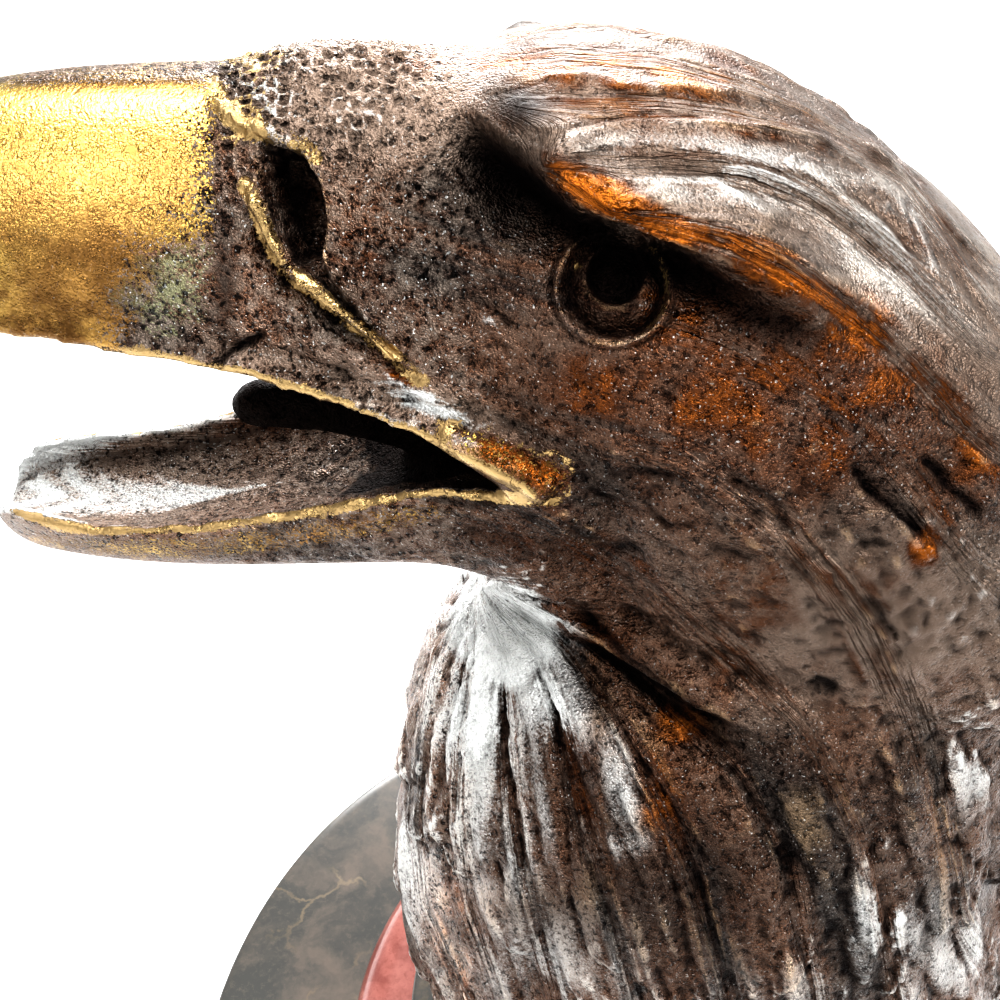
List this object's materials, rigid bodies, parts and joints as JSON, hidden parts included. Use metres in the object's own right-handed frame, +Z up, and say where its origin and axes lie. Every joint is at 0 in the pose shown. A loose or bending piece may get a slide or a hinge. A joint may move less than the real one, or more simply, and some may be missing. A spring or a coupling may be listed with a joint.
{
  "type": "eagle head bust",
  "caption": "Bronze bust of an eagle's head with an open beak and feathered neck, on a stacked round marble plinth.",
  "frame": {"origin": "centre of the plinth's flat underside", "axes": "+Z up; the beak points along -X; the bird's left and right sides face +Y and -Y"},
  "size_m": [0.3089, 0.296, 0.3398],
  "materials": {
    "bronze": "patinated bronze, brown and grey, rubbed to gold on the beak and the edges",
    "dark_marble": "polished dark marble with tan and gold veins",
    "red_marble": "polished red-brown marble"
  },
  "bodies": {
    "root": {"eagle_bust": "bronze", "top_tier": "dark_marble", "red_marble_ring": "red_marble", "base_disc": "dark_marble"}
  },
  "joints": []
}
